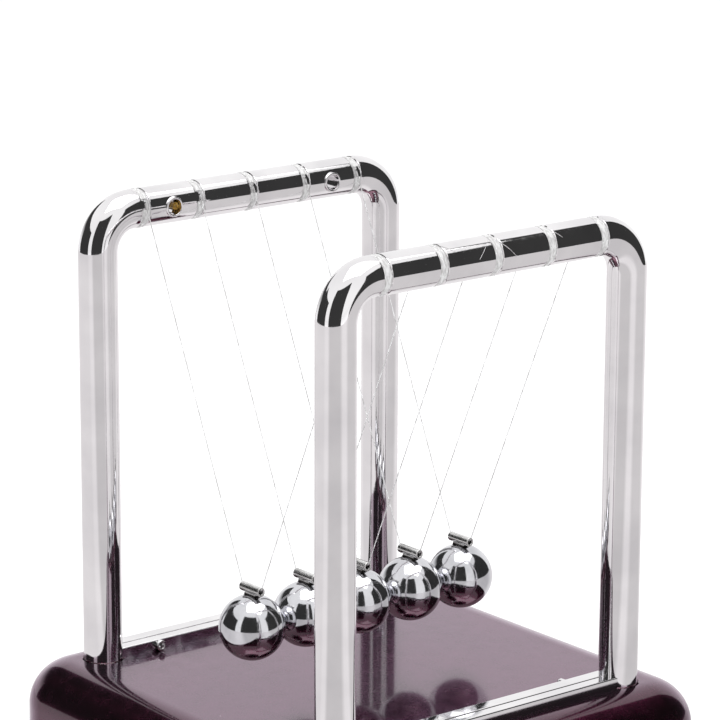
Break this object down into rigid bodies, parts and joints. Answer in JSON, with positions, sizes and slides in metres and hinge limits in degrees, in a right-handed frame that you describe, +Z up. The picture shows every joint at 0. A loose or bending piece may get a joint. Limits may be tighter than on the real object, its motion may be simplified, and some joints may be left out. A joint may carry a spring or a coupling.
{
  "type": "newtons cradle",
  "caption": "Desk toy: steel balls in a row, each hung on a V of clear line between two chromed ring frames on a dark red base; the end balls swing outwards.",
  "frame": {"origin": "on the table, under the middle of the base", "axes": "+X along the row of balls, -Y towards the front frame, +Z up"},
  "size_m": [0.13, 0.1288, 0.1436],
  "materials": {
    "lacquered_base": "dark wine red metallic-flake lacquer, high gloss",
    "base_cover": "black moulded plastic, fine grain",
    "rubber_feet": "black soft rubber",
    "screws": "zinc-plated steel",
    "plated_frames": "bright chrome plating on moulded plastic",
    "polished_balls": "mirror-polished steel",
    "hangers": "steel tube welded to the ball, slightly dulled",
    "fishing_line": "clear nylon monofilament",
    "clear_glue": "clear cured adhesive"
  },
  "bodies": {
    "stand": {"base_shell": "lacquered_base", "base_cover": "base_cover", "foot_1": "rubber_feet", "foot_2": "rubber_feet", "foot_3": "rubber_feet", "foot_4": "rubber_feet", "frame_screws": "screws", "cover_screws": "screws", "frame_front": "plated_frames", "frame_rear": "plated_frames", "wrap_front_1": "fishing_line", "wrap_front_2": "fishing_line", "wrap_front_3": "fishing_line", "wrap_front_4": "fishing_line", "wrap_front_5": "fishing_line", "wrap_rear_1": "fishing_line", "wrap_rear_2": "fishing_line", "wrap_rear_3": "fishing_line", "wrap_rear_4": "fishing_line", "wrap_rear_5": "fishing_line", "glue_front": "clear_glue", "glue_rear": "clear_glue"},
    "ball_1": {"ball_1": "polished_balls", "hanger_1": "hangers", "line_1": "fishing_line"},
    "ball_2": {"ball_2": "polished_balls", "hanger_2": "hangers", "line_2": "fishing_line"},
    "ball_3": {"ball_3": "polished_balls", "hanger_3": "hangers", "line_3": "fishing_line"},
    "ball_4": {"ball_4": "polished_balls", "hanger_4": "hangers", "line_4": "fishing_line"},
    "ball_5": {"ball_5": "polished_balls", "hanger_5": "hangers", "line_5": "fishing_line"}
  },
  "joints": [
    {"name": "ball_1_swing", "type": "hinge", "parent": "stand", "child": "ball_1", "pos_m": [-0.034, 0, 0.14044], "axis": [0, 1, 0], "range_deg": [0, 60]},
    {"name": "ball_2_swing", "type": "hinge", "parent": "stand", "child": "ball_2", "pos_m": [-0.017, 0, 0.14044], "axis": [0, 1, 0], "range_deg": [-0.1, 0.1]},
    {"name": "ball_3_swing", "type": "hinge", "parent": "stand", "child": "ball_3", "pos_m": [0, 0, 0.14044], "axis": [0, 1, 0], "range_deg": [-0.1, 0.1]},
    {"name": "ball_4_swing", "type": "hinge", "parent": "stand", "child": "ball_4", "pos_m": [0.017, 0, 0.14044], "axis": [0, 1, 0], "range_deg": [-0.1, 0.1]},
    {"name": "ball_5_swing", "type": "hinge", "parent": "stand", "child": "ball_5", "pos_m": [0.034, 0, 0.14044], "axis": [0, 1, 0], "range_deg": [-60, 0]}
  ]
}
